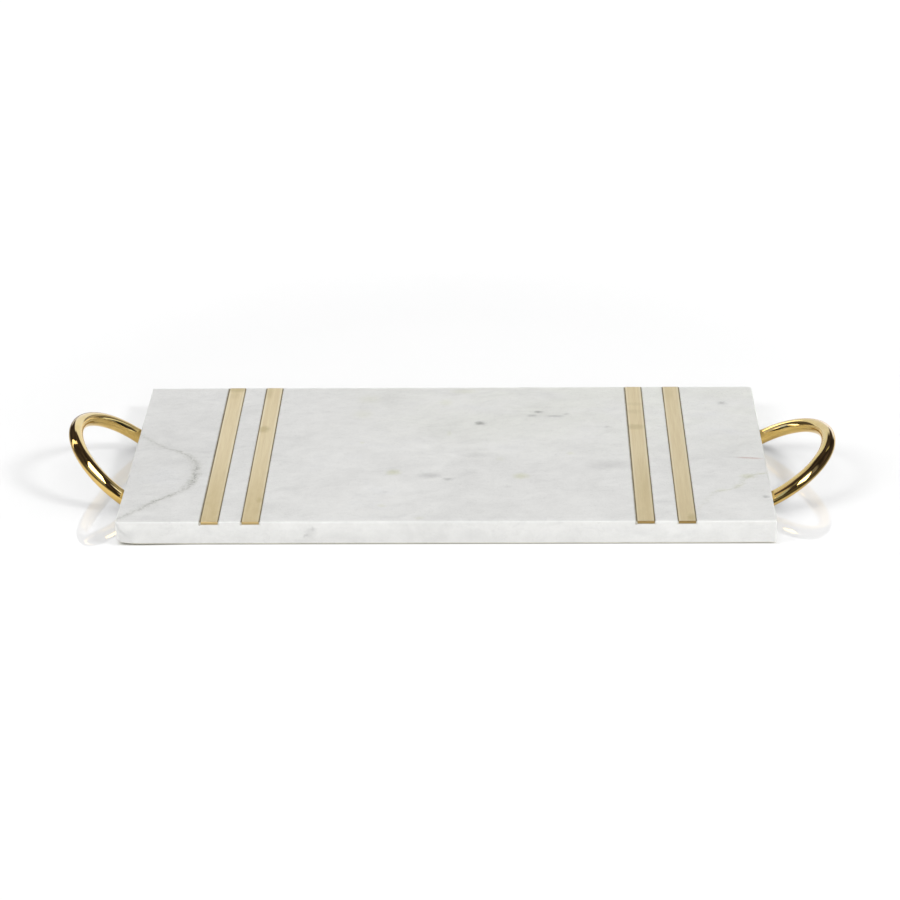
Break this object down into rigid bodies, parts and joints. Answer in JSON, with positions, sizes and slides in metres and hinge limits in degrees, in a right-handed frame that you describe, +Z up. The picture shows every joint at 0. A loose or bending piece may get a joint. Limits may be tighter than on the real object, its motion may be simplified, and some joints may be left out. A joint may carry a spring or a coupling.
{
  "type": "vanity tray",
  "caption": "Rectangular white marble vanity or serving tray with brass inlay strips set flush across it and a polished half-ring rod handle rising outwards from each end.",
  "frame": {"origin": "the middle of the slab's footprint, at the height of the surface that the feet stand on; the right handle lies flatter than the left one, so the bounding box's centre is about 2 mm further right", "axes": "+X along the slab from the left handle to the right one, +Y from the front long edge to the rear one, +Z up"},
  "size_m": [0.4834, 0.2, 0.0398],
  "materials": {
    "marble": "polished white marble with soft grey and faint olive veins",
    "strip_brass": "satin, brushed along the strip, lightly tarnished",
    "strip_adhesive": "hard, dull olive-brown adhesive line",
    "handle_gold": "mirror-polished gold plate on round rod",
    "pin_steel": "drawn",
    "epoxy": "clear amber epoxy",
    "foot_pad": "soft translucent polyurethane",
    "foot_film": "thin adhesive film"
  },
  "bodies": {
    "root": {"marble_slab": "marble", "left_outer_strip": "strip_brass", "left_inner_strip": "strip_brass", "right_inner_strip": "strip_brass", "right_outer_strip": "strip_brass", "left_outer_adhesive": "strip_adhesive", "left_inner_adhesive": "strip_adhesive", "right_inner_adhesive": "strip_adhesive", "right_outer_adhesive": "strip_adhesive", "left_handle": "handle_gold", "right_handle": "handle_gold", "left_front_pin": "pin_steel", "left_rear_pin": "pin_steel", "right_front_pin": "pin_steel", "right_rear_pin": "pin_steel", "left_front_epoxy": "epoxy", "left_rear_epoxy": "epoxy", "right_front_epoxy": "epoxy", "right_rear_epoxy": "epoxy", "left_front_foot": "foot_pad", "left_rear_foot": "foot_pad", "right_front_foot": "foot_pad", "right_rear_foot": "foot_pad", "left_front_foot_film": "foot_film", "left_rear_foot_film": "foot_film", "right_front_foot_film": "foot_film", "right_rear_foot_film": "foot_film"}
  },
  "joints": []
}
